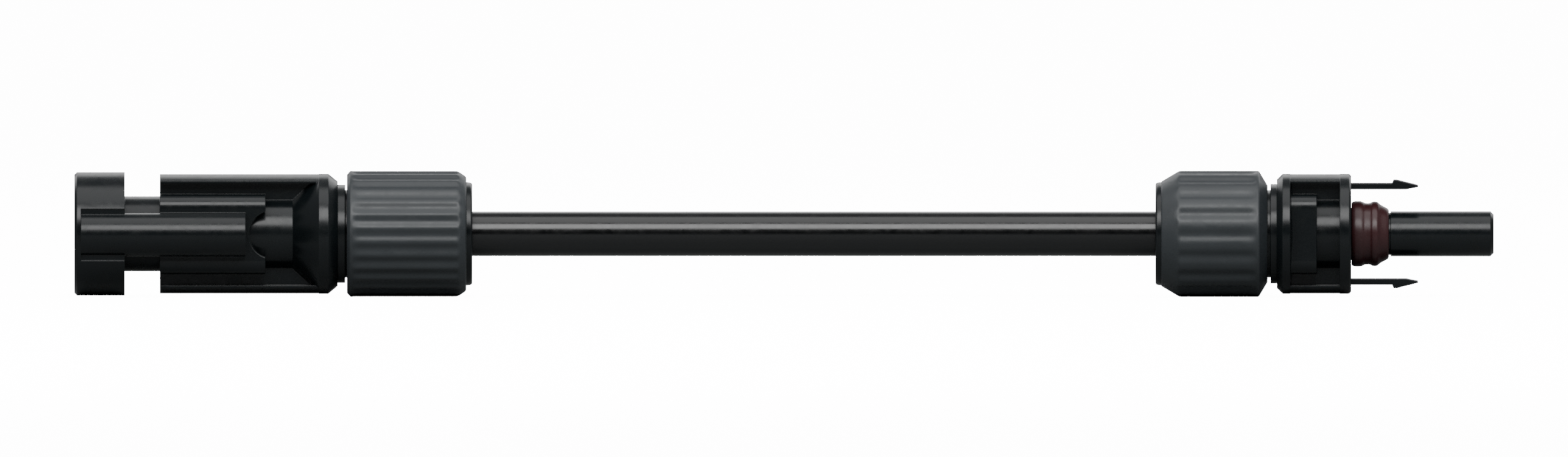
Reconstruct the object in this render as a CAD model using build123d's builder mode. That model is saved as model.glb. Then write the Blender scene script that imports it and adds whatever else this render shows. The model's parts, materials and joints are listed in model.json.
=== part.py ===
from build123d import *
import os
from math import cos, radians, sin

# A short solar jumper lead. The lead lies along X: the hood connector is at -X, the tube connector
# at +X, and the latch arms are above and below the axis. The origin is the middle of the lead.
# Sizes are in millimetres, and radii are measured from the lead's axis.

# ---- driving dimensions ------------------------------------------------------------------------
LEAD_LENGTH = 214.0
HOOD_LENGTH = 60.0  # hood's front to its nut's cable end
TUBE_CONNECTOR_LENGTH = 51.0  # tube's tip to its nut's cable end
TUBE_REACH = 21.5  # tube's tip ahead of the housing's face
TUBE_BODY_LENGTH = 11.2  # tube housing's face to its rear shoulder
HOOD_BODY_LENGTH = 39.7  # hood's front to its rear shoulder

FLANGE_R = 9.3
BODY_R = 9.05
BARREL_R = 5.65
TUBE_R = 3.4
NUT_R = 9.5

CONTACT_R = 2.0  # the mating pin of this contact system is 4 mm across
SOCKET_BORE_R = 2.05
SEAL_SEAT_R = 4.85
TUBE_SOCKET_R = 3.55

JACKET_R = 3.35
INSULATION_R = 2.42
CONDUCTOR_R = 1.6
STRAND_R = 0.31
FIT_GAP = 0.01

THREAD_PITCH = 1.5
NECK_CORE_R = 6.6
THREAD_CREST_R = 7.2
NUT_BORE_R = 7.3  # the ridges of neck and nut pass each other, in place of a helix
NUT_THREAD_R = 7.8
GLAND_BORE_R = 5.6
NECK_LENGTH = 9.0
THREAD_START = 2.0
THREAD_END = 8.3
STRIP_DEPTH = 1.1  # how far the cable's cut end reaches past the housing's shoulder

LATCH_HEIGHT = 7.2
LATCH_THICKNESS = 0.9
LATCH_WIDTH = 5.0
LATCH_LENGTH = 10.1
BARB_PEAK = 6.4  # ahead of the face
BARB_RISE = 0.5
LATCH_PIVOT_DEPTH = 0.95

HOOD_FRONT = -LEAD_LENGTH / 2
HOOD_SHOULDER = HOOD_FRONT + HOOD_BODY_LENGTH
TUBE_FACE = LEAD_LENGTH / 2 - TUBE_REACH
TUBE_SHOULDER = TUBE_FACE - TUBE_BODY_LENGTH
HOOD_NUT_END = HOOD_LENGTH - HOOD_BODY_LENGTH  # from the shoulder, towards the cable
TUBE_NUT_END = TUBE_CONNECTOR_LENGTH - TUBE_REACH - TUBE_BODY_LENGTH
JACKET_START = HOOD_SHOULDER - STRIP_DEPTH
JACKET_END = TUBE_SHOULDER + STRIP_DEPTH

os.makedirs("parts", exist_ok=True)


# ---- shared steps ------------------------------------------------------------------------------
def turn(points, mode=Mode.ADD):
    """Turn a closed (x, radius) outline about the lead's axis, in the part being built."""
    with BuildSketch(Plane.XZ) as outline:
        with BuildLine():
            Polyline(*points, close=True)
        make_face()
    revolve(outline.sketch, axis=Axis.X, mode=mode)


def along(start, direction, points):
    """Place (distance, radius) points along X, from start, in the direction given as 1 or -1."""
    return [(start + direction * distance, radius) for distance, radius in points]


def save(piece, name):
    """Label a finished part and write its STEP file."""
    piece.part.label = name
    export_step(piece.part, f"parts/{name}.step")


def thread_ridges(first, last, root, crest):
    """Outline points of a V thread's ridges, from first to last along the neck."""
    points = []
    count = int((last - first) / THREAD_PITCH)
    for index in range(count):
        ridge = first + index * THREAD_PITCH
        points += [(ridge, root), (ridge + 0.55, crest), (ridge + 0.85, crest)]
        points.append((ridge + 1.4, root))
    return points


# ---- body section shared by both housings ------------------------------------------------------
BLOCK_WIDTH = 13.2
BLOCK_HEIGHT = 12.0
BLOCK_CORNER = 2.0
BAR_WIDTH = 8.0
BAR_UNDERSIDE = 7.7
WEB_WIDTH = 4.8


def flank_block(start, length):
    """The body's block, with flat flanks left and right."""
    with BuildSketch(Plane.YZ.offset(start)) as section:
        RectangleRounded(BLOCK_WIDTH, BLOCK_HEIGHT, BLOCK_CORNER)
    extrude(section.sketch, amount=length)


def draw_bars():
    """Draw the bars above and below the barrel, each on its web, in an empty sketch."""
    Circle(BODY_R - 0.05)
    Rectangle(BLOCK_WIDTH + 4, 2 * BAR_UNDERSIDE, mode=Mode.SUBTRACT)
    Rectangle(BAR_WIDTH, 2 * FLANGE_R, mode=Mode.INTERSECT)
    Rectangle(WEB_WIDTH, 2 * BAR_UNDERSIDE + 0.4)


def top_and_bottom_bars(start, length):
    """One stretch of the bars above and below the barrel."""
    with BuildSketch(Plane.YZ.offset(start)) as section:
        draw_bars()
    extrude(section.sketch, amount=length)


# ---- gland pieces, measured from the housing's rear shoulder towards the cable -----------------
NUT_START = 1.4
NUT_WALL = 1.9
SEAL_FIRST = -0.45
SEAL_LAST = 6.3
CAGE_FIRST = 6.45
CAGE_NOSE_END = 8.75
COLLAR_FIRST = 9.2
COLLAR_LAST = 10.3
FINGER_COUNT = 8


def gland_neck(shoulder, direction):
    """The housing's rear neck, with its thread for the gland nut."""
    core = [(0, 0), (0, NECK_CORE_R)]
    core += thread_ridges(THREAD_START, THREAD_END, NECK_CORE_R, THREAD_CREST_R)
    core += [(NECK_LENGTH - 0.3, NECK_CORE_R), (NECK_LENGTH, NECK_CORE_R - 0.3), (NECK_LENGTH, 0)]
    turn(along(shoulder, direction, core))


def gland_bore(shoulder, direction):
    """The bore in the neck that holds the gland seal and guides the cage's nose."""
    outline = [(-0.5, 0), (-0.5, GLAND_BORE_R), (NECK_LENGTH - 0.3, GLAND_BORE_R)]
    outline += [(NECK_LENGTH + 1, GLAND_BORE_R + 0.5), (NECK_LENGTH + 1, 0)]
    turn(along(shoulder, direction, outline), mode=Mode.SUBTRACT)


def gland_seal(name, shoulder, direction):
    """Rubber sleeve between the neck's bore and the cable, with two ridges outside."""
    outer = GLAND_BORE_R - 0.05
    waist = outer - 0.3
    inner = JACKET_R + 0.04
    outline = [(SEAL_FIRST, inner), (SEAL_FIRST, waist), (0.2, outer), (1.6, outer), (2.2, waist)]
    outline += [(3.6, waist), (4.2, outer), (5.6, outer), (SEAL_LAST, waist), (SEAL_LAST, inner)]
    with BuildPart() as seal:
        turn(along(shoulder, direction, outline))
    save(seal, name)


def clamping_cage(name, shoulder, direction, nut_end):
    """Plastic ring with a nose that presses the seal and tapered fingers that grip the cable."""
    inner = JACKET_R + 0.06
    finger_end = nut_end - NUT_WALL - 0.35
    outline = [(CAGE_FIRST, inner), (CAGE_FIRST, 5.3), (CAGE_FIRST + 0.2, 5.5)]
    outline += [(CAGE_NOSE_END, 5.5), (COLLAR_FIRST, 5.5), (COLLAR_FIRST, 6.6)]
    outline += [(COLLAR_LAST, 6.6), (COLLAR_LAST, 5.9), (finger_end, 4.75), (finger_end, inner)]
    slot_first = COLLAR_LAST + 0.6
    slot_length = finger_end - slot_first + 1
    slot_middle = shoulder + direction * (slot_first + slot_length / 2)
    with BuildPart() as cage:
        turn(along(shoulder, direction, outline))
        for index in range(FINGER_COUNT):
            with Locations(Location((slot_middle, 0, 0), (index * 360 / FINGER_COUNT, 0, 0))):
                Box(
                    slot_length,
                    0.8,
                    8,
                    align=(Align.CENTER, Align.CENTER, Align.MIN),
                    mode=Mode.SUBTRACT,
                )
    save(cage, name)


def gland_nut(name, shoulder, direction, nut_end, flute_count, flute_radius, flute_depth):
    """Fluted nut with a matching thread, an inner cone for the fingers and a cable opening."""
    cone_first = COLLAR_LAST + 0.15
    cone_last = nut_end - NUT_WALL
    outside = [(NUT_START, 0), (NUT_START, 7.9), (NUT_START + 1.0, NUT_R - 0.25)]
    outside += [(NUT_START + 1.25, NUT_R), (nut_end - 2.9, NUT_R), (nut_end - 1.4, NUT_R - 0.5)]
    outside += [(nut_end - 0.5, NUT_R - 1.3), (nut_end, NUT_R - 2.1), (nut_end, 0)]
    hollow = [(NUT_START - 1, 0), (NUT_START - 1, NUT_BORE_R)]
    hollow += thread_ridges(THREAD_START, THREAD_END, NUT_BORE_R, NUT_THREAD_R)
    hollow += [(COLLAR_FIRST - 0.3, NUT_BORE_R), (COLLAR_FIRST - 0.3, 6.75), (cone_first, 6.75)]
    hollow += [(cone_first, 5.98), (cone_last, 4.85), (cone_last, 3.85)]
    hollow += [(nut_end - 0.6, 3.85), (nut_end + 0.4, 4.85), (nut_end + 0.4, 0)]
    flute_first = NUT_START + 1.8
    flute_length = nut_end - 2.6 - flute_first
    flute_plane = shoulder + direction * flute_first
    with BuildPart() as nut:
        turn(along(shoulder, direction, outside))
        with BuildSketch(Plane.YZ.offset(flute_plane)) as flutes:
            with PolarLocations(NUT_R + flute_radius - flute_depth, flute_count):
                Circle(flute_radius)
        extrude(flutes.sketch, amount=direction * flute_length, mode=Mode.SUBTRACT)
        turn(along(shoulder, direction, hollow), mode=Mode.SUBTRACT)
    save(nut, name)


# ---- contacts ----------------------------------------------------------------------------------
CRIMP_R = 2.6
CRIMP_FLATS = 4.75


def crimp_flats(start, length):
    """Six pressed flats round a crimp barrel."""
    with BuildSketch(Plane.YZ.offset(start)) as section:
        Circle(CRIMP_R + 1)
        RegularPolygon(CRIMP_FLATS / 2, 6, major_radius=False, mode=Mode.SUBTRACT)
    extrude(section.sketch, amount=length, mode=Mode.SUBTRACT)


def retaining_clip(name, front, direction, length):
    """Spring-steel sleeve whose rear end flares into tangs that hold a contact in its housing."""
    inner, outer, flare = 2.25, 2.43, 3.15
    outline = [(0, inner), (0, outer), (length * 0.4, outer), (length, flare)]
    outline += [(length, flare - 0.2), (length * 0.44, inner)]
    tang_middle = front + direction * length * 0.8
    with BuildPart() as clip:
        turn(along(front, direction, outline))
        for index in range(6):
            with Locations(Location((tang_middle, 0, 0), (index * 60, 0, 0))):
                Box(
                    length * 0.5,
                    0.7,
                    5,
                    align=(Align.CENTER, Align.CENTER, Align.MIN),
                    mode=Mode.SUBTRACT,
                )
        with Locations((front + direction * length / 2, 0, 0)):
            Box(
                length * 1.2,
                0.4,
                5,
                align=(Align.CENTER, Align.CENTER, Align.MAX),
                mode=Mode.SUBTRACT,
            )
    save(clip, name)


# ---- hood connector ----------------------------------------------------------------------------
FLANGE_LENGTH = 7.6
NOTCH_END = 12.9
WINDOW_START = 28.8
FLARE_START = 32.9
FLARE_END = 37.3
CRESCENT_R = 3.65
CRESCENT_EDGE = 26.3
RIB_R = 3.3
RIB_CENTRE = 7.0
RIB_START = 1.0
RIB_END = 25.8
FLAT_HALF_HEIGHT = 3.9
FLAT_DEPTH = 8.3
SEAT_DEPTH = 6.2
PIN_TIP = 8.0
BULKHEAD = 21.9
BULKHEAD_END = 23.4
SHANK_START = 21.7  # the pin is thicker where the bulkhead holds it
SHANK_R = 2.5
LATCH_SLOT_WIDTH = LATCH_WIDTH + 0.8
LATCH_SLOT_DEPTH = 5.5


def hood_point(distance):
    """The X of a point that is this far behind the hood's front."""
    return HOOD_FRONT + distance


def latch_openings(first, last, low, high):
    """Cut the openings above and below the hood's mouth that the latch arms enter."""
    for side in (-1, 1):
        with Locations((hood_point((first + last) / 2), 0, side * (low + high) / 2)):
            Box(last - first, LATCH_SLOT_WIDTH, high - low, mode=Mode.SUBTRACT)


def hood_section(first, last, core, ribbed=True, barred=False):
    """One stretch of the hood's outside: a core shape, the side ribs and the bars with their web."""
    with BuildSketch(Plane.YZ.offset(hood_point(first))) as section:
        if barred:
            draw_bars()
        if core == "flange":
            Circle(FLANGE_R)
            with Locations((-FLAT_DEPTH - 2, 0), (FLAT_DEPTH + 2, 0)):
                Rectangle(4, 2 * FLAT_HALF_HEIGHT, mode=Mode.SUBTRACT)
        elif core == "block":
            RectangleRounded(BLOCK_WIDTH, BLOCK_HEIGHT, BLOCK_CORNER)
        else:
            Circle(BARREL_R)
        if ribbed:
            with Locations((-RIB_CENTRE, 0), (RIB_CENTRE, 0)):
                Circle(RIB_R)
    extrude(section.sketch, amount=last - first)


with BuildPart() as hood_housing:
    with BuildSketch(Plane.YZ.offset(hood_point(RIB_END))) as block_end:
        RectangleRounded(BLOCK_WIDTH, BLOCK_HEIGHT, BLOCK_CORNER)
    extrude(block_end.sketch, amount=WINDOW_START - RIB_END)
    with BuildSketch(Plane.XZ) as crescent:
        with Locations((hood_point(CRESCENT_EDGE + CRESCENT_R), 0)):
            Circle(CRESCENT_R)
    extrude(crescent.sketch, amount=BLOCK_WIDTH, both=True, mode=Mode.SUBTRACT)
    hood_section(RIB_END, FLARE_START, "barrel", ribbed=False, barred=True)
    hood_section(NOTCH_END, RIB_END, "block", barred=True)
    hood_section(FLANGE_LENGTH, NOTCH_END, "barrel")
    hood_section(RIB_START, FLANGE_LENGTH, "flange")
    turn(
        along(
            HOOD_FRONT,
            1,
            [(0, 0), (0, FLANGE_R - 0.4), (0.4, FLANGE_R), (RIB_START, FLANGE_R), (RIB_START, 0)],
        )
    )
    turn(
        along(
            HOOD_FRONT,
            1,
            [
                (FLARE_START, 0),
                (FLARE_START, BARREL_R),
                (FLARE_END - 0.4, BODY_R),
                (FLARE_END + 1.0, BODY_R),
                (HOOD_BODY_LENGTH, 7.9),
                (HOOD_BODY_LENGTH, 0),
            ],
        )
    )
    hood_section(FLARE_START, FLARE_END, "barrel", ribbed=False, barred=True)
    turn(
        along(HOOD_SHOULDER, 1, [(-0.5, 0), (-0.5, 7.4), (1.15, 7.4), (1.15, 0)]),
    )
    gland_neck(HOOD_SHOULDER, 1)
    turn(
        along(
            HOOD_FRONT,
            1,
            [
                (-1, 0),
                (-1, SEAL_SEAT_R + 1.5),
                (0.5, SEAL_SEAT_R),
                (SEAT_DEPTH, SEAL_SEAT_R),
                (SEAT_DEPTH + 0.8, TUBE_SOCKET_R),
                (BULKHEAD, TUBE_SOCKET_R),
                (BULKHEAD, SHANK_R + 0.1),
                (BULKHEAD_END, SHANK_R + 0.1),
                (BULKHEAD_END, 2.9),
                (25.0, 2.9),
                (25.0, 3.4),
                (30.2, 3.4),
                (30.2, 3.0),
                (31.4, 3.0),
                (31.9, 3.5),
                (HOOD_BODY_LENGTH, 3.5),
                (HOOD_BODY_LENGTH, 0),
            ],
        ),
        mode=Mode.SUBTRACT,
    )
    gland_bore(HOOD_SHOULDER, 1)
    latch_openings(-1, LATCH_SLOT_DEPTH, 6.35, 7.95)
    latch_openings(LATCH_SLOT_DEPTH - 0.01, FLANGE_LENGTH + 1, 6.35, 8.45)
save(hood_housing, "hood_housing")

with BuildPart() as pin_contact:
    turn(
        along(
            HOOD_FRONT,
            1,
            [
                (PIN_TIP, 0),
                (PIN_TIP, 0.9),
                (PIN_TIP + 0.4, 1.5),
                (PIN_TIP + 1.4, CONTACT_R),
                (SHANK_START, CONTACT_R),
                (SHANK_START, SHANK_R),
                (BULKHEAD_END + 0.05, SHANK_R),
                (BULKHEAD_END + 0.05, 2.8),
                (25.0, 2.8),
                (25.0, 2.2),
                (30.0, 2.2),
                (30.0, 2.8),
                (31.0, 2.8),
                (31.3, CRIMP_R),
                (38.0, CRIMP_R),
                (38.3, CRIMP_R - 0.3),
                (38.3, CONDUCTOR_R + 0.05),
                (31.6, CONDUCTOR_R + 0.05),
                (31.2, 0),
            ],
        )
    )
    crimp_flats(hood_point(32.4), 4.6)
save(pin_contact, "pin_contact")

retaining_clip("pin_retaining_clip", hood_point(25.15), 1, 4.7)
gland_seal("hood_gland_seal", HOOD_SHOULDER, 1)
clamping_cage("hood_clamping_cage", HOOD_SHOULDER, 1, HOOD_NUT_END)
gland_nut("hood_gland_nut", HOOD_SHOULDER, 1, HOOD_NUT_END, 28, 0.9, 0.3)

# ---- tube connector ----------------------------------------------------------------------------
FACE_FLANGE = 1.7
SIDE_WINDOW_START = 5.2  # behind the face
REAR_RIM = 9.2
SPIGOT_R = 3.95
SPIGOT_END = 4.2
SEAL_GROOVE_R = 3.2  # the seal's lip grips the tube here
SEAL_GROOVE_END = 5.95
TUBE_MOUTH_R = 2.3
POCKET_DEPTH = 1.5


def face_point(distance):
    """The X of a point that is this far ahead of the tube housing's face."""
    return TUBE_FACE + distance


with BuildPart() as tube_housing:
    turn(
        along(
            TUBE_FACE,
            1,
            [
                (-TUBE_BODY_LENGTH, 0),
                (-TUBE_BODY_LENGTH, 8.2),
                (-TUBE_BODY_LENGTH + 0.9, BODY_R),
                (-REAR_RIM, BODY_R),
                (-REAR_RIM + 0.5, BARREL_R),
                (-FACE_FLANGE, BARREL_R),
                (-FACE_FLANGE, BODY_R),
                (-0.3, BODY_R),
                (0, BODY_R - 0.3),
                (0, SPIGOT_R),
                (SPIGOT_END, SPIGOT_R),
                (SPIGOT_END + 0.5, SEAL_GROOVE_R),
                (SEAL_GROOVE_END, SEAL_GROOVE_R),
                (SEAL_GROOVE_END, TUBE_R),
                (TUBE_REACH - 0.5, TUBE_R),
                (TUBE_REACH, TUBE_R - 0.5),
                (TUBE_REACH, 0),
            ],
        )
    )
    flank_block(face_point(-REAR_RIM - 0.2), REAR_RIM + 0.2 - SIDE_WINDOW_START)
    top_and_bottom_bars(face_point(-REAR_RIM - 0.4), REAR_RIM + 0.4 - 0.8)
    turn(along(TUBE_SHOULDER, -1, [(-0.5, 0), (-0.5, 7.5), (0.95, 7.5), (0.95, 0)]))
    gland_neck(TUBE_SHOULDER, -1)
    turn(
        along(
            TUBE_FACE,
            1,
            [
                (-TUBE_BODY_LENGTH, 0),
                (-TUBE_BODY_LENGTH, 3.5),
                (-3.5, 3.5),
                (-3.0, 3.0),
                (-1.8, 3.0),
                (-1.8, 3.3),
                (3.9, 3.3),
                (3.9, 2.75),
                (TUBE_REACH - 0.7, 2.75),
                (TUBE_REACH - 0.7, TUBE_MOUTH_R),
                (TUBE_REACH + 0.4, TUBE_MOUTH_R + 0.9),
                (TUBE_REACH + 0.4, 0),
            ],
        ),
        mode=Mode.SUBTRACT,
    )
    gland_bore(TUBE_SHOULDER, -1)
    for side in (-1, 1):
        with Locations((face_point(-POCKET_DEPTH / 2 + 0.5), 0, side * LATCH_HEIGHT)):
            Box(POCKET_DEPTH + 1, LATCH_WIDTH + 0.3, 1.3, mode=Mode.SUBTRACT)
save(tube_housing, "tube_housing")


def latch_arm(name, side):
    """A latch arm with a round root in the face's pocket and an arrow-shaped barb near its tip."""
    half = LATCH_THICKNESS / 2
    root = face_point(-LATCH_PIVOT_DEPTH)
    outer = LATCH_HEIGHT + half
    inner = LATCH_HEIGHT - half
    with BuildPart() as arm:
        with BuildSketch(Plane.XZ) as outline:
            with BuildLine():
                Polyline(
                    (root, side * inner),
                    (face_point(LATCH_LENGTH - 1.8), side * inner),
                    (face_point(LATCH_LENGTH), side * (LATCH_HEIGHT - 0.1)),
                    (face_point(LATCH_LENGTH), side * (LATCH_HEIGHT + 0.15)),
                    (face_point(BARB_PEAK + 0.5), side * (outer + BARB_RISE)),
                    (face_point(BARB_PEAK), side * (outer + BARB_RISE)),
                    (face_point(BARB_PEAK - 0.2), side * outer),
                    (root, side * outer),
                    close=True,
                )
            make_face()
            with Locations((root, side * LATCH_HEIGHT)):
                Circle(half)
        extrude(outline.sketch, amount=LATCH_WIDTH / 2, both=True)
    save(arm, name)


latch_arm("latch_upper", 1)
latch_arm("latch_lower", -1)

with BuildPart() as front_seal_ring:
    turn(
        along(
            TUBE_FACE,
            1,
            [
                (0.04, SPIGOT_R + 0.03),
                (0.04, 4.7),
                (0.5, 4.95),
                (1.6, 4.95),
                (2.1, 4.65),
                (2.9, 4.65),
                (3.3, 4.9),
                (4.0, 4.85),
                (4.5, 4.4),
                (5.7, 3.75),
                (5.7, SEAL_GROOVE_R + 0.03),
                (SPIGOT_END + 0.55, SEAL_GROOVE_R + 0.03),
                (SPIGOT_END + 0.05, SPIGOT_R + 0.03),
            ],
        )
    )
save(front_seal_ring, "front_seal_ring")

BAND_FIRST = 14.0
BAND_LAST = 19.0
BAND_GROOVE_R = 2.35

with BuildPart() as socket_contact:
    turn(
        along(
            TUBE_FACE,
            1,
            [
                (-9.6, CONDUCTOR_R + 0.05),
                (-9.6, CRIMP_R - 0.3),
                (-9.3, CRIMP_R),
                (-3.3, CRIMP_R),
                (-3.0, 2.8),
                (-1.7, 2.8),
                (-1.7, 2.2),
                (2.9, 2.2),
                (2.9, 2.9),
                (3.85, 2.9),
                (3.85, CRIMP_R),
                (20.3, CRIMP_R),
                (20.6, 2.35),
                (20.0, SOCKET_BORE_R),
                (BAND_LAST, SOCKET_BORE_R),
                (BAND_LAST, BAND_GROOVE_R),
                (BAND_FIRST, BAND_GROOVE_R),
                (BAND_FIRST, SOCKET_BORE_R),
                (6.0, SOCKET_BORE_R),
                (5.2, 0),
                (-3.2, 0),
                (-3.6, CONDUCTOR_R + 0.05),
            ],
        )
    )
    crimp_flats(face_point(-8.5), 4.4)
save(socket_contact, "socket_contact")

LOUVRE_COUNT = 12

with BuildPart() as socket_spring_band:
    turn(
        along(
            TUBE_FACE,
            1,
            [
                (BAND_FIRST + 0.1, 2.22),
                (BAND_FIRST + 0.1, 2.33),
                (BAND_LAST - 0.1, 2.33),
                (BAND_LAST - 0.1, 2.22),
                (BAND_LAST - 1.6, 2.12),
                (BAND_FIRST + 1.6, 2.12),
            ],
        )
    )
    for index in range(LOUVRE_COUNT):
        angle = index * 360 / LOUVRE_COUNT
        with Locations(Location((face_point((BAND_FIRST + BAND_LAST) / 2), 0, 0), (angle, 0, 0))):
            Box(
                3.6,
                0.4,
                4,
                align=(Align.CENTER, Align.CENTER, Align.MIN),
                mode=Mode.SUBTRACT,
            )
save(socket_spring_band, "socket_spring_band")

retaining_clip("socket_retaining_clip", face_point(2.75), -1, 4.3)
gland_seal("tube_gland_seal", TUBE_SHOULDER, -1)
clamping_cage("tube_clamping_cage", TUBE_SHOULDER, -1, TUBE_NUT_END)
gland_nut("tube_gland_nut", TUBE_SHOULDER, -1, TUBE_NUT_END, 18, 1.4, 0.4)


# ---- cable -------------------------------------------------------------------------------------
def cable_layer(name, outer, inner):
    """One round layer of the cable, from cut end to cut end."""
    with BuildPart() as layer:
        with BuildSketch(Plane.YZ.offset(JACKET_START)) as section:
            Circle(outer)
            Circle(inner, mode=Mode.SUBTRACT)
        extrude(section.sketch, amount=JACKET_END - JACKET_START)
    save(layer, name)


cable_layer("cable_jacket", JACKET_R, INSULATION_R + FIT_GAP)
cable_layer("cable_insulation", INSULATION_R, CONDUCTOR_R + FIT_GAP)

STRAND_START = hood_point(31.8)
STRAND_END = face_point(-3.8)
STRAND_RINGS = ((1, 0.0), (6, 0.64), (12, 1.28))


def strand_centres():
    """The (y, z) centres of the strands: one in the middle and two rings round it."""
    centres = []
    for count, ring_radius in STRAND_RINGS:
        for index in range(count):
            angle = radians(index * 360 / count)
            centres.append((ring_radius * cos(angle), ring_radius * sin(angle)))
    return centres


with BuildPart() as conductor_strands:
    with BuildSketch(Plane.YZ.offset(STRAND_START)) as section:
        with Locations(*strand_centres()):
            Circle(STRAND_R)
    extrude(section.sketch, amount=STRAND_END - STRAND_START)
save(conductor_strands, "conductor_strands")
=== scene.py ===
import json
import logging
from dataclasses import dataclass
from enum import Enum
from math import cos, radians, sin, tau

import bpy
import numpy as np
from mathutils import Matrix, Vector


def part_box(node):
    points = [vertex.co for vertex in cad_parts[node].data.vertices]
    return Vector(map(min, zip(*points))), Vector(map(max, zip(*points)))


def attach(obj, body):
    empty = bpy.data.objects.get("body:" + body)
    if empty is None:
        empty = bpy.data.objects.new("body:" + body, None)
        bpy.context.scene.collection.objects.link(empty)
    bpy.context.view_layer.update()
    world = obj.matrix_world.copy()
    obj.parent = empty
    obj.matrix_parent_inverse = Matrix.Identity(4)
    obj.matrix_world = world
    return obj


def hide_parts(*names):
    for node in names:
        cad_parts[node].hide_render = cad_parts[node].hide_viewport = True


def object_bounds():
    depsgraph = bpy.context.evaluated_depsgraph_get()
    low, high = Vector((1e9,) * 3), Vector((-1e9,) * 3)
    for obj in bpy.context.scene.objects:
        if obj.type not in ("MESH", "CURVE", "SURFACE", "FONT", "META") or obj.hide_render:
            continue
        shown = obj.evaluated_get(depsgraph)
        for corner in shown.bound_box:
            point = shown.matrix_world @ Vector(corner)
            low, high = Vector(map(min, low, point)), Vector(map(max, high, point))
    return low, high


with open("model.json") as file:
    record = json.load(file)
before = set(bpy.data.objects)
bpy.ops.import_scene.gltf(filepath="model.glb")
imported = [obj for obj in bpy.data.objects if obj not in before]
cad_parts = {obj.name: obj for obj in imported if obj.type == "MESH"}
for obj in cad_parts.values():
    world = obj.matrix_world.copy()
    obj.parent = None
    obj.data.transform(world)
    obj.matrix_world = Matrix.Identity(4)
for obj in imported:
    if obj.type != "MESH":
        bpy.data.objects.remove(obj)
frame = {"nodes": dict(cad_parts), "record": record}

CAD_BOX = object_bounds()
MM = 0.001
LOG = logging.getLogger("lead")

EDGE_GAIN = 6.0  # how fast the mask of rubbed edges rises as the normal bends
NOISE_SPAN = (0.3, 0.7)  # the part of the smudge noise that the roughness follows
ARC_SHARE = 0.45  # the most of a side that a corner's arc may take
MERGE_DECIMALS = 8  # loop points that agree to this many decimals of a metre are one
LIP_SHADE_SHARE = 0.9  # faces this far into the lip, from its end, are painted black as shade
BORE_RADIUS = 7.2 * MM  # the nut's open mouth, round the housing's neck
CAGE_SEAT_RADIUS = 6.75 * MM  # where the clamping cage's collar lies
CAGE_SEAT_START = 7.6 * MM
CAGE_SEAT_END = 9.05 * MM
CONE_RADII = (6.0 * MM, 4.9 * MM)  # the cone that squeezes the cage's fingers
CABLE_HOLE_RADIUS = 3.9 * MM
CABLE_HOLE_START = 1.9 * MM  # back from the nut's cable end
CABLE_CHAMFER = 0.7 * MM  # back from the nut's cable end
CABLE_CHAMFER_RADIUS = 4.7 * MM
CORNER = 0.1 * MM  # rounding of the plain corners
LONGEST_NUT_SIDE = 0.6 * MM
LONGEST_SEAL_SIDE = 0.25 * MM
FLUTE_RUN_IN = (0.2 * MM, 0.9 * MM)  # where the flutes fade in behind the front bevel
FLUTE_RUN_OUT = (-0.3 * MM, 0.5 * MM)  # and fade out about the rear bevel's start
FLUTE_WALL = (1.2 * MM, 0.3 * MM)  # below the outer wall, where the flutes fade in

Colour = tuple[float, float, float]
Outline = list[tuple[float, float, float]]


# ---- finishes ----------------------------------------------------------------------------------
class Texture(Enum):
    """How a surface was made, which decides the pattern of its grain."""

    MOULDED = "moulded"
    EXTRUDED = "extruded"
    TURNED = "turned"


@dataclass(frozen=True)
class Finish:
    """One surface finish, with its colours, gloss and grain.

    Args:
        name: The material's name.
        base: The main colour, linear.
        tint: The colour that the main one drifts to, linear.
        worn: The colour of rubbed edges, linear.
        rough: Lowest and highest roughness over the surface.
        texture: The way the surface was made.
        grain: Height of the grain in metres.
        grain_scale: Grain features per metre.
        metallic: 1 for bare metal, 0 for the rest.
        wear: How much of an edge shows the worn colour.
        edge: Radius in metres by which sharp edges look rounded.
        specular: The shader's specular level.
    """

    name: str
    base: Colour
    tint: Colour
    worn: Colour
    rough: tuple[float, float]
    texture: Texture = Texture.MOULDED
    grain: float = 4e-6
    grain_scale: float = 3000.0
    metallic: float = 0.0
    wear: float = 0.25
    edge: float = 0.00018
    specular: float = 0.5


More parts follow.
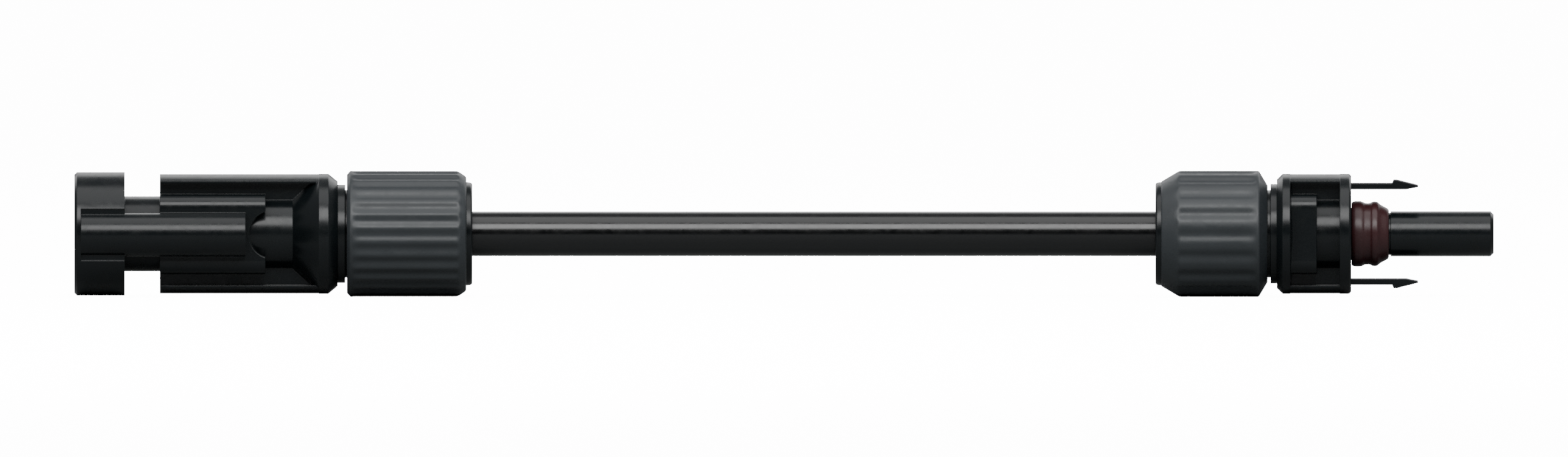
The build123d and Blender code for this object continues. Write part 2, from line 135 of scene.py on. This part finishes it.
FINISHES: dict[str, Finish] = {
    "housing_plastic": Finish(
        "housing_plastic", (0.0022, 0.0034, 0.0040), (0.0036, 0.0052, 0.0060), (0.02, 0.024, 0.026),
        (0.20, 0.30), grain=3e-6, wear=0.25, edge=0.00022, specular=0.34,
    ),
    "nut_plastic": Finish(
        "nut_plastic", (0.018, 0.021, 0.0235), (0.026, 0.030, 0.033), (0.06, 0.066, 0.070),
        (0.36, 0.48), grain=7e-6, grain_scale=2600.0, wear=0.2, edge=0.0002, specular=0.4,
    ),
    "cage_plastic": Finish(
        "cage_plastic", (0.012, 0.013, 0.014), (0.02, 0.021, 0.023), (0.08, 0.085, 0.09),
        (0.32, 0.44), grain=5e-6, wear=0.2,
    ),
    "seal_rubber": Finish(
        "seal_rubber", (0.03, 0.03, 0.031), (0.045, 0.044, 0.044), (0.06, 0.06, 0.06),
        (0.55, 0.7), grain=5e-6, wear=0.1,
    ),
    "front_seal_rubber": Finish(
        "front_seal_rubber", (0.024, 0.0062, 0.0075), (0.036, 0.011, 0.012), (0.10, 0.045, 0.045),
        (0.30, 0.42), grain=4e-6, grain_scale=3800.0, wear=0.15, edge=0.0001, specular=0.4,
    ),
    "tinned_copper": Finish(
        "tinned_copper", (0.60, 0.59, 0.57), (0.70, 0.69, 0.66), (0.80, 0.79, 0.77),
        (0.20, 0.34), Texture.TURNED, grain=2e-6, grain_scale=5200.0, metallic=1.0, wear=0.4,
    ),
    "spring_steel": Finish(
        "spring_steel", (0.46, 0.46, 0.47), (0.56, 0.56, 0.57), (0.7, 0.7, 0.7),
        (0.24, 0.38), Texture.EXTRUDED, grain=2e-6, metallic=1.0, edge=0.00005,
    ),
    "contact_band": Finish(
        "contact_band", (0.72, 0.50, 0.20), (0.80, 0.62, 0.32), (0.86, 0.74, 0.48),
        (0.22, 0.34), Texture.EXTRUDED, grain=2e-6, metallic=1.0, edge=0.00005,
    ),
    "cable_jacket": Finish(
        "cable_jacket", (0.0015, 0.0016, 0.0018), (0.0025, 0.0027, 0.0029), (0.02, 0.02, 0.021),
        (0.16, 0.26), Texture.EXTRUDED, grain=5e-6, grain_scale=2200.0, wear=0.0, specular=0.55,
    ),
    "cable_insulation": Finish(
        "cable_insulation", (0.55, 0.55, 0.52), (0.62, 0.61, 0.57), (0.7, 0.7, 0.68),
        (0.4, 0.5), Texture.EXTRUDED, grain=3e-6, wear=0.1,
    ),
}


class Tree:
    """Adds nodes and links to one node tree."""

    def __init__(self, tree: bpy.types.NodeTree) -> None:
        """Keep the tree.

        Args:
            tree: The node tree to add to.
        """
        self.tree = tree

    def add(self, kind: str, **settings: object) -> bpy.types.Node:
        """Add a node and set its properties.

        Args:
            kind: The node's type.
            settings: Properties to set on it.

        Returns:
            The new node.
        """
        node = self.tree.nodes.new(kind)
        for key, value in settings.items():
            setattr(node, key, value)
        return node

    def link(self, out: bpy.types.NodeSocket, into: bpy.types.NodeSocket) -> None:
        """Join an output to an input.

        Args:
            out: The output.
            into: The input.
        """
        self.tree.links.new(out, into)

    def maths(self, operation: str, *inputs: object) -> bpy.types.NodeSocket:
        """Add a Math node.

        Args:
            operation: Its operation.
            inputs: Numbers, or outputs to link.

        Returns:
            The node's output.
        """
        node = self.add("ShaderNodeMath", operation=operation)
        for socket, value in zip(node.inputs, inputs):
            if isinstance(value, (int, float)):
                socket.default_value = value
            else:
                self.link(value, socket)
        return node.outputs[0]

    def blend(self, factor: object, first: object, second: object) -> bpy.types.NodeSocket:
        """Mix two colours.

        Args:
            factor: Output that gives the share of the second colour.
            first: A linear colour, or an output.
            second: A linear colour, or an output.

        Returns:
            The mixed colour's output.
        """
        node = self.add("ShaderNodeMix", data_type="RGBA")
        self.link(factor, node.inputs[0])
        for socket, value in ((node.inputs[6], first), (node.inputs[7], second)):
            if isinstance(value, tuple):
                socket.default_value = (*value, 1.0)
            else:
                self.link(value, socket)
        return node.outputs[2]


class Effects:
    """The shader node groups that the materials share."""

    def __init__(self) -> None:
        """Build each group once."""
        self.grain = self._grain_group()
        self.edges = self._edge_group()

    @staticmethod
    def _new(name: str, inputs: tuple[str, ...], outputs: tuple[str, ...]) -> tuple:
        """Make an empty group with float sockets, and Normal as a vector.

        Args:
            name: The group's name.
            inputs: Names of its inputs.
            outputs: Names of its outputs.

        Returns:
            The group, its tree helper, its input node and its output node.
        """
        group = bpy.data.node_groups.new(name, "ShaderNodeTree")
        for way, names in (("INPUT", inputs), ("OUTPUT", outputs)):
            for label in names:
                kind = "NodeSocketVector" if label in ("Normal", "Stretch") else "NodeSocketFloat"
                group.interface.new_socket(label, in_out=way, socket_type=kind)
        tree = Tree(group)
        return group, tree, tree.add("NodeGroupInput"), tree.add("NodeGroupOutput")

    def _grain_group(self) -> bpy.types.NodeTree:
        """Fine grain and slow drift of tone, in the piece's own coordinates.

        Returns:
            The group, with outputs Height, Drift and Smudge.
        """
        group, tree, given, result = self._new(
            "surface_grain", ("Scale", "Stretch"), ("Height", "Drift", "Smudge")
        )
        place = tree.add("ShaderNodeTexCoord")
        stretched = tree.add("ShaderNodeVectorMath", operation="MULTIPLY")
        tree.link(place.outputs["Object"], stretched.inputs[0])
        tree.link(given.outputs["Stretch"], stretched.inputs[1])
        fine = tree.add("ShaderNodeTexNoise")
        fine.inputs["Detail"].default_value = 3.0
        fine.inputs["Roughness"].default_value = 0.6
        tree.link(stretched.outputs[0], fine.inputs["Vector"])
        tree.link(given.outputs["Scale"], fine.inputs["Scale"])
        slow = tree.add("ShaderNodeTexNoise")
        slow.inputs["Scale"].default_value = 140.0
        slow.inputs["Detail"].default_value = 4.0
        tree.link(stretched.outputs[0], slow.inputs["Vector"])
        smudge = tree.add("ShaderNodeTexNoise")
        smudge.inputs["Scale"].default_value = 420.0
        smudge.inputs["Detail"].default_value = 6.0
        smudge.inputs["Distortion"].default_value = 1.2
        tree.link(place.outputs["Object"], smudge.inputs["Vector"])
        tree.link(fine.outputs["Fac"], result.inputs["Height"])
        tree.link(slow.outputs["Fac"], result.inputs["Drift"])
        tree.link(smudge.outputs["Fac"], result.inputs["Smudge"])
        return group

    def _edge_group(self) -> bpy.types.NodeTree:
        """Rounded shading at sharp edges, and a mask of rubbed edges.

        Returns:
            The group, with outputs Normal and Mask.
        """
        group, tree, given, result = self._new(
            "rubbed_edges", ("Radius", "Amount", "Break"), ("Normal", "Mask")
        )
        rounded = tree.add("ShaderNodeBevel", samples=6)
        tree.link(given.outputs["Radius"], rounded.inputs["Radius"])
        flat = tree.add("ShaderNodeNewGeometry")
        agree = tree.add("ShaderNodeVectorMath", operation="DOT_PRODUCT")
        tree.link(rounded.outputs[0], agree.inputs[0])
        tree.link(flat.outputs["Normal"], agree.inputs[1])
        bent = tree.maths("SUBTRACT", 1.0, agree.outputs["Value"])
        scaled = tree.maths("MULTIPLY", bent, EDGE_GAIN)
        broken = tree.maths("MULTIPLY", scaled, given.outputs["Break"])
        mask = tree.add("ShaderNodeClamp")
        tree.link(tree.maths("MULTIPLY", broken, given.outputs["Amount"]), mask.inputs[0])
        tree.link(rounded.outputs[0], result.inputs["Normal"])
        tree.link(mask.outputs[0], result.inputs["Mask"])
        return group


class Paint:
    """Makes each finish's material once and puts it on objects."""

    STRETCH = {
        Texture.MOULDED: (1.0, 1.0, 1.0),
        Texture.EXTRUDED: (0.03, 1.0, 1.0),
        Texture.TURNED: (1.0, 0.06, 0.06),
    }

    def __init__(self) -> None:
        """Build the shared groups."""
        self.effects = Effects()
        self.made: dict[str, bpy.types.Material] = {}

    def material(self, name: str) -> bpy.types.Material:
        """The material of a finish, built the first time it is asked for.

        Args:
            name: A key of FINISHES.

        Returns:
            The material.
        """
        if name not in self.made:
            self.made[name] = self._build(FINISHES[name])
        return self.made[name]

    def _build(self, finish: Finish) -> bpy.types.Material:
        """Build a finish's node tree round one Principled shader.

        Args:
            finish: The finish.

        Returns:
            The new material.
        """
        material = bpy.data.materials.new(finish.name)
        material.use_nodes = True
        material.node_tree.nodes.clear()
        tree = Tree(material.node_tree)
        grain = tree.add("ShaderNodeGroup", node_tree=self.effects.grain)
        grain.inputs["Scale"].default_value = finish.grain_scale
        grain.inputs["Stretch"].default_value = self.STRETCH[finish.texture]
        edges = tree.add("ShaderNodeGroup", node_tree=self.effects.edges)
        edges.inputs["Radius"].default_value = finish.edge
        edges.inputs["Amount"].default_value = finish.wear
        tree.link(grain.outputs["Smudge"], edges.inputs["Break"])
        shader = tree.add("ShaderNodeBsdfPrincipled")
        shader.inputs["Metallic"].default_value = finish.metallic
        shader.inputs["Specular IOR Level"].default_value = finish.specular
        drifted = tree.blend(grain.outputs["Drift"], finish.base, finish.tint)
        colour = tree.blend(edges.outputs["Mask"], drifted, finish.worn)
        tree.link(colour, shader.inputs["Base Color"])
        rough = tree.add("ShaderNodeMapRange")
        rough.inputs["From Min"].default_value = NOISE_SPAN[0]
        rough.inputs["From Max"].default_value = NOISE_SPAN[1]
        rough.inputs["To Min"].default_value = finish.rough[0]
        rough.inputs["To Max"].default_value = finish.rough[1]
        tree.link(grain.outputs["Smudge"], rough.inputs["Value"])
        tree.link(rough.outputs["Result"], shader.inputs["Roughness"])
        bump = tree.add("ShaderNodeBump")
        bump.inputs["Strength"].default_value = 1.0
        bump.inputs["Distance"].default_value = finish.grain
        tree.link(grain.outputs["Height"], bump.inputs["Height"])
        tree.link(edges.outputs["Normal"], bump.inputs["Normal"])
        tree.link(bump.outputs["Normal"], shader.inputs["Normal"])
        output = tree.add("ShaderNodeOutputMaterial")
        tree.link(shader.outputs[0], output.inputs["Surface"])
        return material

    def dress(self, piece: bpy.types.Object, name: str) -> None:
        """Give a piece one finish all over.

        Args:
            piece: The object.
            name: A key of FINISHES.
        """
        if piece.material_slots:
            for place in piece.material_slots:
                place.material = self.material(name)
        else:
            piece.data.materials.append(self.material(name))


# ---- surfaces ----------------------------------------------------------------------------------
def smooth_step(low: float, high: float, value: np.ndarray) -> np.ndarray:
    """The cubic step 3t^2 - 2t^3, where t runs from 0 at low to 1 at high.

    Args:
        low: Where the step starts.
        high: Where it ends.
        value: The places to work it out at.

    Returns:
        The step at each place, from 0 to 1.
    """
    share = np.clip((value - low) / (high - low), 0.0, 1.0)
    return share * share * (3.0 - 2.0 * share)


def rounded_loop(corners: Outline, steps: int = 5) -> np.ndarray:
    """Round the corners of a closed outline.

    Each corner becomes a quadratic Bezier arc, (1-t)^2 a + 2t(1-t) c + t^2 b, where c is the
    corner, and a and b lie on the two sides, a rounding length away from it.

    Args:
        corners: Points (x, radius, rounding) in metres.
        steps: Points on each arc.

    Returns:
        An array of (x, radius) rows.
    """
    rows = np.array(corners, float)
    points, rounding = rows[:, :2], rows[:, 2:3]
    before = np.roll(points, 1, axis=0) - points
    after = np.roll(points, -1, axis=0) - points
    long_before = np.linalg.norm(before, axis=1, keepdims=True)
    long_after = np.linalg.norm(after, axis=1, keepdims=True)
    first = points + before / long_before * np.minimum(rounding, ARC_SHARE * long_before)
    last = points + after / long_after * np.minimum(rounding, ARC_SHARE * long_after)
    t = np.linspace(0.0, 1.0, steps)[None, :, None]
    arcs = (1 - t) ** 2 * first[:, None] + 2 * t * (1 - t) * points[:, None]
    return (arcs + t**2 * last[:, None]).reshape(-1, 2)


def subdivided(loop: np.ndarray, longest: float) -> np.ndarray:
    """Add points on a closed loop's long sides, evenly spaced.

    Args:
        loop: Rows of (x, radius).
        longest: The longest side to leave, in metres.

    Returns:
        The loop with the added points.
    """
    closed = np.vstack([loop, loop[:1]])
    sides = np.linalg.norm(np.diff(closed, axis=0), axis=1)
    way = np.concatenate([[0.0], np.cumsum(sides)])
    extra = np.arange(0.0, way[-1], longest)
    stations = np.unique(np.round(np.concatenate([way[:-1], extra]), MERGE_DECIMALS))
    return np.stack([np.interp(stations, way, closed[:, k]) for k in (0, 1)], axis=1)


def closed_ring(
    name: str, x: np.ndarray, radius: np.ndarray, around: np.ndarray
) -> bpy.types.Object:
    """Make a ring whose section is a closed loop.

    The point at row i and column j is (x_i, r_ij cos a_j, r_ij sin a_j). Both ways close up.

    Args:
        name: The piece's name.
        x: Each loop point's place along the axis, in metres.
        radius: The radius at each loop point and angle.
        around: The angles.

    Returns:
        The new object, with faces that point outwards.
    """
    rows, columns = radius.shape
    place = np.empty((rows, columns, 3))
    place[..., 0] = x[:, None]
    place[..., 1] = radius * np.cos(around)[None, :]
    place[..., 2] = radius * np.sin(around)[None, :]
    i, j = np.meshgrid(np.arange(rows), np.arange(columns), indexing="ij")
    down, right = (i + 1) % rows, (j + 1) % columns
    corners = [i * columns + j, i * columns + right, down * columns + right, down * columns + j]
    faces = np.stack([c.ravel() for c in corners], axis=1)
    section = np.stack([x, radius.mean(axis=1)], axis=1)
    after = np.roll(section, -1, axis=0)
    turning = np.sum(section[:, 0] * after[:, 1] - after[:, 0] * section[:, 1])
    if turning > 0:
        faces = faces[:, ::-1]
    mesh = bpy.data.meshes.new(name)
    mesh.from_pydata(place.reshape(-1, 3).tolist(), [], faces.tolist())
    mesh.polygons.foreach_set("use_smooth", np.ones(len(faces), bool))
    mesh.update()
    piece = bpy.data.objects.new(name, mesh)
    bpy.context.scene.collection.objects.link(piece)
    return piece


# ---- sub-assemblies ----------------------------------------------------------------------------
@dataclass
class GlandNut:
    """A fluted gland nut that stands for its CAD node.

    Args:
        node: The CAD node.
        body: The body that it rides on.
        towards: 1 if the cable leaves towards +X, -1 towards -X.
        flutes: How many flutes there are.
        flute_depth: Their depth in metres.
        sharpness: The power that narrows the ribs between flutes.
        front: Length and drop of the bevel at the open end, in metres.
        rear: Length and drop of the bevel before the lip at the cable end.
        steps_per_flute: Points round each flute.
        lip: Length of the lip at the cable end, painted black as shade, in metres.
        lip_radius: The lip's radius in metres.
    """

    node: str
    body: str
    towards: int
    flutes: int
    flute_depth: float
    sharpness: float
    front: tuple[float, float]
    rear: tuple[float, float]
    steps_per_flute: int = 12
    lip: float = 0.9 * MM
    lip_radius: float = 7.8 * MM

    def outline(self, length: float, outer: float) -> np.ndarray:
        """The nut's section, from its open front round to its cable opening and back inside.

        Args:
            length: The nut's length in metres.
            outer: Its outer radius in metres.

        Returns:
            Rows of (distance from the front, radius).
        """
        corners = [
            (0.0, BORE_RADIUS, 0.05 * MM),
            (0.0, outer - self.front[1], CORNER),
            (self.front[0], outer, 0.25 * MM),
            (length - self.lip - self.rear[0], outer, 0.35 * MM),
            (length - self.lip, outer - self.rear[1], 0.3 * MM),
            (length - self.lip, self.lip_radius, 0.02 * MM),
            (length, self.lip_radius - 0.1 * MM, 0.4 * MM),
            (length, CABLE_CHAMFER_RADIUS, 0.3 * MM),
            (length - CABLE_CHAMFER, CABLE_HOLE_RADIUS, 0.3 * MM),
            (length - CABLE_HOLE_START, CABLE_HOLE_RADIUS, CORNER),
            (length - CABLE_HOLE_START, CONE_RADII[1], CORNER),
            (CAGE_SEAT_END, CONE_RADII[0], CORNER),
            (CAGE_SEAT_END, CAGE_SEAT_RADIUS, CORNER),
            (CAGE_SEAT_START, CAGE_SEAT_RADIUS, CORNER),
            (CAGE_SEAT_START, BORE_RADIUS, CORNER),
        ]
        return subdivided(rounded_loop(corners), LONGEST_NUT_SIDE)

    def build(self, paint: Paint) -> bpy.types.Object:
        """Make the nut's surface and dress it.

        The radius is the outline's, less the flutes. A flute's depth is a raised cosine of the
        angle to a power, faded out at both ends and off the outer wall.

        Args:
            paint: The materials.

        Returns:
            The new piece.
        """
        low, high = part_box(self.node)
        length, outer = high.x - low.x, max(high.z, high.y)
        section = self.outline(length, outer)
        distance, radius = section[:, 0], section[:, 1]
        around = np.linspace(0.0, tau, self.flutes * self.steps_per_flute, endpoint=False)
        groove = (0.5 + 0.5 * np.cos(self.flutes * around)) ** self.sharpness
        bevel = length - self.lip - self.rear[0]
        first, full = (self.front[0] + run for run in FLUTE_RUN_IN)
        fading, gone = (bevel + run for run in FLUTE_RUN_OUT)
        ends = smooth_step(first, full, distance)
        ends *= 1.0 - smooth_step(fading, gone, distance)
        wall = smooth_step(outer - FLUTE_WALL[0], outer - FLUTE_WALL[1], radius)
        depth = self.flute_depth * (ends * wall)[:, None] * groove[None, :]
        start = low.x if self.towards > 0 else high.x
        x = start + self.towards * distance
        piece = closed_ring(self.node + "_skin", x, radius[:, None] - depth, around)
        paint.dress(piece, "nut_plastic")
        # painted shade: the lip at the cable end is painted black
        self._paint_lip_shade(piece, paint, start, length)
        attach(piece, self.body)
        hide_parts(self.node)
        return piece

    def _paint_lip_shade(
        self, piece: bpy.types.Object, paint: Paint, start: float, length: float
    ) -> None:
        """Paint the lip at the cable end in the housings' black, as painted shade of the nut's end.

        Args:
            piece: The nut.
            paint: The materials.
            start: Where its open front is, along X, in metres.
            length: Its length in metres.
        """
        # painted shade: the faces at the nut's cable end take the housings' black
        piece.data.materials.append(paint.material("housing_plastic"))
        reach = length - LIP_SHADE_SHARE * self.lip
        for face in piece.data.polygons:
            if self.towards * (face.center.x - start) > reach:
                face.material_index = 1


@dataclass
class FrontSeal:
    """The lobed silicone ring at the root of the tube.

    Args:
        node: The CAD node.
        columns: Points round the ring.
    """

    node: str = "front_seal_ring"
    columns: int = 160

    def build(self, paint: Paint) -> bpy.types.Object:
        """Turn the ring's rounded section about the axis.

        Args:
            paint: The materials.

        Returns:
            The new piece.
        """
        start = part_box(self.node)[0].x
        # Each corner is (distance from the ring's start, radius, rounding) in millimetres.
        corners = [
            (0.0, 3.99, 0.1), (0.0, 4.72, 0.2), (0.45, 4.95, 0.35), (1.5, 4.95, 0.5),
            (2.05, 4.62, 0.35), (2.8, 4.62, 0.35), (3.25, 4.9, 0.35), (3.9, 4.86, 0.4),
            (4.35, 4.42, 0.4), (5.3, 3.92, 0.3), (5.6, 3.7, 0.1), (5.66, 3.25, 0.05),
            (4.75, 3.25, 0.05), (4.25, 3.99, 0.05),
        ]
        scaled = [(x * MM, r * MM, k * MM) for x, r, k in corners]
        section = subdivided(rounded_loop(scaled), LONGEST_SEAL_SIDE)
        around = np.linspace(0.0, tau, self.columns, endpoint=False)
        radius = np.repeat(section[:, 1:2], self.columns, axis=1)
        piece = closed_ring("front_seal_skin", start + section[:, 0], radius, around)
        paint.dress(piece, "front_seal_rubber")
        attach(piece, "root")
        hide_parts(self.node)
        return piece


@dataclass
class Cable:
    """The cable's jacket, straight from gland to gland.

    Args:
        node: The CAD node.
        hood_exit: Where the cable leaves the hood connector's nut, along X, in metres.
        tube_exit: Where it enters the tube connector's nut.
        diameter: The jacket's diameter.
    """

    node: str = "cable_jacket"
    hood_exit: float = -0.047
    tube_exit: float = 0.056
    diameter: float = 0.0067

    def build(self, paint: Paint) -> bpy.types.Object:
        """Args:
            paint: The materials.

        Returns:
            The new piece.
        """
        low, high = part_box(self.node)
        route = [(low.x, 0.0, 0.0), (self.hood_exit, 0.0, 0.0)]
        route += [(self.tube_exit, 0.0, 0.0), (high.x, 0.0, 0.0)]
        curve = bpy.data.curves.new("cable", "CURVE")
        curve.dimensions = "3D"
        spline = curve.splines.new("NURBS")
        spline.points.add(len(route) - 1)
        for point, place in zip(spline.points, route):
            point.co = (*place, 1.0)
        spline.order_u = 3
        spline.use_endpoint_u = True
        spline.resolution_u = 24
        curve.bevel_depth = self.diameter / 2
        curve.bevel_resolution = 14
        curve.use_fill_caps = True
        piece = bpy.data.objects.new("cable", curve)
        bpy.context.scene.collection.objects.link(piece)
        paint.dress(piece, "cable_jacket")
        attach(piece, "root")
        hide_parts(self.node)
        return piece


@dataclass
class MouldedParts:
    """The CAD nodes that keep their shape and get their finish here.

    Args:
        slots: Node name to material slot, from the record.
    """

    slots: dict[str, str]

    def build(self, paint: Paint) -> list[bpy.types.Object]:
        """Dress every node with its slot's finish.

        Args:
            paint: The materials.

        Returns:
            The dressed nodes.
        """
        dressed = []
        for node, place in self.slots.items():
            piece = frame["nodes"][node]
            paint.dress(piece, place)
            dressed.append(piece)
        return dressed


# ---- studio ------------------------------------------------------------------------------------
@dataclass
class Studio:
    """The pale floor, the soft lights and the camera.

    Args:
        reach: Half the floor's width in metres.
        camera_distance: How far off the camera stands.
        camera_tilt: Its height above the horizon, in degrees.
        view_width: The width that it sees, in metres.
        rise: How far above the lead's axis it aims, in metres.
        floor_glow: How brightly the floor shines towards the viewer alone.
        floor_seen: The floor's colour towards the viewer, linear.
        floor_unseen: Its colour towards everything else.
        sky: The surround's colour, linear.
        sky_strength: How bright the surround is on the viewer's side and elsewhere.
        sky_turn: Where along Y, from -1 to 1, it starts and stops getting brighter.
    """

    reach: float = 6.0
    camera_distance: float = 2.0
    camera_tilt: float = 1.2
    view_width: float = 0.2364
    rise: float = 0.0008
    floor_glow: float = 14.0
    floor_seen: Colour = (0.86, 0.87, 0.88)
    floor_unseen: Colour = (0.17, 0.18, 0.18)
    sky: Colour = (0.95, 0.98, 1.0)
    sky_strength: tuple[float, float] = (0.02, 0.3)
    sky_turn: tuple[float, float] = (-0.92, -0.55)

    def build(self) -> None:
        """Set up everything that isn't the object."""
        self._floor()
        self._lights()
        self._world()
        self._camera()

    def _floor(self) -> None:
        """A wide plain floor that touches the lead's lowest point."""
        level = CAD_BOX[0].z
        grid = np.array([(-1, -1), (1, -1), (1, 1), (-1, 1)], float) * self.reach
        mesh = bpy.data.meshes.new("floor")
        mesh.from_pydata([(x, y, level) for x, y in grid.tolist()], [], [(0, 1, 2, 3)])
        floor = bpy.data.objects.new("floor", mesh)
        bpy.context.scene.collection.objects.link(floor)
        material = bpy.data.materials.new("floor")
        material.use_nodes = True
        tree = Tree(material.node_tree)
        shader = material.node_tree.nodes["Principled BSDF"]
        shader.inputs["Roughness"].default_value = 0.6
        shader.inputs["Emission Color"].default_value = (1.0, 1.0, 1.0, 1.0)
        seen = tree.add("ShaderNodeLightPath").outputs["Is Camera Ray"]
        colour = tree.blend(seen, self.floor_unseen, self.floor_seen)
        tree.link(colour, shader.inputs["Base Color"])
        glow = tree.maths("MULTIPLY", seen, self.floor_glow)
        tree.link(glow, shader.inputs["Emission Strength"])
        mesh.materials.append(material)

    @staticmethod
    def _area(name: str, angle: float, distance: float, size: tuple, watts: float) -> None:
        """Add a soft area light in the plane across the lead.

        Args:
            name: The light's name.
            angle: Its height above the viewer's horizon, in degrees.
            distance: How far it is from the lead, in metres.
            size: Its length along the lead and its width, in metres.
            watts: Its power.
        """
        light = bpy.data.lights.new(name, "AREA")
        light.shape = "RECTANGLE"
        light.size, light.size_y = size
        light.energy = watts
        lamp = bpy.data.objects.new(name, light)
        turn = radians(angle)
        place = Vector((0.0, -cos(turn), sin(turn))) * distance
        lamp.location = place
        lamp.rotation_euler = (-place).to_track_quat("-Z", "Y").to_euler()
        bpy.context.scene.collection.objects.link(lamp)

    def _lights(self) -> None:
        """A strip in front and above, a softbox overhead and a weaker one behind."""
        self._area("strip_front", angle=40.0, distance=0.8, size=(1.5, 0.36), watts=12.0)
        self._area("softbox_top", angle=80.0, distance=0.7, size=(1.3, 0.5), watts=4.0)
        self._area("softbox_back", angle=150.0, distance=0.8, size=(1.6, 0.4), watts=3.0)

    def _world(self) -> None:
        """A soft surround that is dark on the viewer's side and bright elsewhere."""
        world = bpy.data.worlds.new("studio")
        world.use_nodes = True
        world.node_tree.nodes.clear()
        tree = Tree(world.node_tree)
        place = tree.add("ShaderNodeTexCoord")
        parts = tree.add("ShaderNodeSeparateXYZ")
        tree.link(place.outputs["Generated"], parts.inputs[0])
        ramp = tree.add("ShaderNodeMapRange", interpolation_type="SMOOTHSTEP")
        ramp.inputs["From Min"].default_value = self.sky_turn[0]
        ramp.inputs["From Max"].default_value = self.sky_turn[1]
        ramp.inputs["To Min"].default_value = self.sky_strength[0]
        ramp.inputs["To Max"].default_value = self.sky_strength[1]
        tree.link(parts.outputs["Y"], ramp.inputs["Value"])
        sky = tree.add("ShaderNodeBackground")
        sky.inputs["Color"].default_value = (*self.sky, 1.0)
        tree.link(ramp.outputs["Result"], sky.inputs["Strength"])
        output = tree.add("ShaderNodeOutputWorld")
        tree.link(sky.outputs[0], output.inputs["Surface"])
        bpy.context.scene.world = world

    def _camera(self) -> None:
        """A level camera with parallel rays, square to the lead."""
        data = bpy.data.cameras.new("camera")
        data.type = "ORTHO"
        data.ortho_scale = self.view_width
        data.clip_end = 20.0
        camera = bpy.data.objects.new("camera", data)
        tilt = radians(self.camera_tilt)
        back = Vector((0.0, -cos(tilt), sin(tilt)))
        camera.location = Vector((0.0, 0.0, self.rise)) + back * self.camera_distance
        camera.rotation_euler = (-back).to_track_quat("-Z", "Y").to_euler()
        bpy.context.scene.collection.objects.link(camera)
        bpy.context.scene.camera = camera


def main() -> None:
    """Build every sub-assembly in order and report each piece."""
    logging.basicConfig(level=logging.INFO, format="%(name)s: %(message)s")
    Studio().build()
    paint = Paint()
    slots = {part["node"]: part["material_slot"] for part in frame["record"]["subparts"]}
    for piece in MouldedParts(slots).build(paint):
        LOG.info("dressed %s", piece.name)
    nuts = [
        GlandNut(
            "hood_gland_nut", "hood_nut", towards=1,
            flutes=28, flute_depth=0.24 * MM, sharpness=0.9,
            front=(0.5 * MM, 0.6 * MM), rear=(1.3 * MM, 0.9 * MM),
        ),
        GlandNut(
            "tube_gland_nut", "tube_nut", towards=-1,
            flutes=18, flute_depth=0.30 * MM, sharpness=1.6,
            front=(1.3 * MM, 2.2 * MM), rear=(2.7 * MM, 1.6 * MM), steps_per_flute=18,
        ),
    ]
    for maker in [*nuts, FrontSeal(), Cable()]:
        LOG.info("built %s", maker.build(paint).name)


if __name__ == "__main__":
    main()
